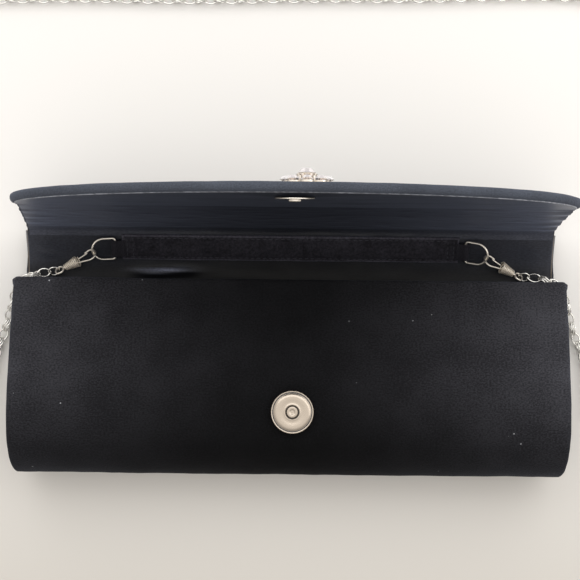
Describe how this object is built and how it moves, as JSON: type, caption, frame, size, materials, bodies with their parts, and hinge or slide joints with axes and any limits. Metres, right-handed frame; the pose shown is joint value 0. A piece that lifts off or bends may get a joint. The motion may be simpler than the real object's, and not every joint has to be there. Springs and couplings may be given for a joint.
{
  "type": "evening bag",
  "caption": "Slim black evening bag on its back, flap open, with inner strap, D rings, spring clasps, snap, brooch and chain.",
  "frame": {"origin": "middle of the flat back panel's resting face, on the surface that the bag lies on", "axes": "+X along the width towards the wearer's right side of the open bag, +Y from the bottom to the mouth, +Z away from the surface"},
  "size_m": [0.3226, 0.2184, 0.1116],
  "materials": {
    "crepe": "black crepe satin, fine grain",
    "rim_crepe": "the same crepe stretched over the rim, with a blue-grey sheen",
    "lining": "smooth blue-black taffeta",
    "board": "grey-brown stiffening board",
    "foam": "thin padding foam",
    "suede": "black suede-like tape",
    "nickel": "bright nickel plate",
    "steel": "plain steel",
    "magnet": "ferrite magnet",
    "silver": "bright silver plate",
    "rhinestone": "clear cut glass",
    "pale_stone": "pale milky cut glass",
    "chain": "silver plated twisted links"
  },
  "bodies": {
    "root": {"front_cover": "crepe", "front_board": "board", "bottom_board": "board", "back_cover": "crepe", "back_board": "board", "body_lining": "lining", "end_panel_left": "crepe", "end_lining_left": "lining", "end_panel_right": "crepe", "end_lining_right": "lining", "mouth_binding": "crepe", "snap_socket_case": "nickel", "snap_magnet": "magnet", "snap_socket_base": "nickel", "snap_socket_rivet": "nickel", "snap_socket_washer": "steel", "ring_strap": "suede", "ring_tab_left": "suede", "chain_ring_left": "nickel", "ring_tab_right": "suede", "chain_ring_right": "nickel", "shoulder_chain": "chain"},
    "flap_top": {"strip_cover": "crepe", "strip_lining": "lining"},
    "flap": {"flap_lining": "lining", "flap_board": "board", "flap_foam": "foam", "flap_cover": "crepe", "flap_rim": "rim_crepe", "snap_stud": "nickel", "snap_stud_washer": "steel", "brooch_plate": "silver", "brooch_setting": "silver", "brooch_centre_stone": "rhinestone", "brooch_side_stones": "pale_stone", "brooch_petal_stones": "rhinestone", "brooch_small_stones": "rhinestone", "brooch_claws": "silver", "brooch_posts": "steel", "brooch_washers": "steel"},
    "ring_left": {"d_ring_left": "nickel"},
    "clasp_left": {"clasp_left_hook": "nickel", "clasp_left_coil": "nickel"},
    "gate_left": {"clasp_left_gate": "nickel"},
    "ring_right": {"d_ring_right": "nickel"},
    "clasp_right": {"clasp_right_hook": "nickel", "clasp_right_coil": "nickel"},
    "gate_right": {"clasp_right_gate": "nickel"}
  },
  "joints": [
    {"name": "flap_fold", "type": "hinge", "parent": "root", "child": "flap_top", "pos_m": [0, 0.048, 0.01], "axis": [1, 0, 0], "range_deg": [-66, 55.2]},
    {"name": "flap_crease", "type": "hinge", "parent": "flap_top", "child": "flap", "pos_m": [0, 0.05647, 0.04396], "axis": [1, 0, 0], "range_deg": [-24.85, 20.8]},
    {"name": "ring_left_tilt", "type": "hinge", "parent": "root", "child": "ring_left", "pos_m": [-0.079, 0.03789, 0.0082], "axis": [0, 0.9135, 0.4067], "range_deg": [-3, 12]},
    {"name": "clasp_left_pitch", "type": "hinge", "parent": "ring_left", "child": "clasp_left", "pos_m": [-0.08875, 0.03563, 0.00908], "axis": [-0.3368, 0.8343, 0.4365], "range_deg": [-19.04, 4.91]},
    {"name": "gate_left_press", "type": "hinge", "parent": "clasp_left", "child": "gate_left", "pos_m": [-0.09559, 0.03298, 0.00765], "axis": [0.3734, -0.5742, -0.7286], "range_deg": [0, 22], "stiffness_Nm_per_rad": 0.0006, "springref_deg": -17.19},
    {"name": "ring_right_tilt", "type": "hinge", "parent": "root", "child": "ring_right", "pos_m": [0.079, 0.03789, 0.0082], "axis": [0, -0.9135, -0.4067], "range_deg": [-14, 6]},
    {"name": "clasp_right_pitch", "type": "hinge", "parent": "ring_right", "child": "clasp_right", "pos_m": [0.08804, 0.03469, 0.01118], "axis": [-0.3125, -0.8019, -0.5093], "range_deg": [-9.62, 22.18]},
    {"name": "gate_right_press", "type": "hinge", "parent": "clasp_right", "child": "gate_right", "pos_m": [0.09465, 0.03211, 0.00885], "axis": [0.4627, 0.5768, 0.6731], "range_deg": [0, 22], "stiffness_Nm_per_rad": 0.0006, "springref_deg": -17.19}
  ],
  "couplings": [
    {"joint": "flap_crease", "follows": "flap_fold", "ratio": 0.375},
    {"joint": "clasp_left_pitch", "follows": "ring_left_tilt", "ratio": -1.57},
    {"joint": "clasp_right_pitch", "follows": "ring_right_tilt", "ratio": -1.57}
  ]
}
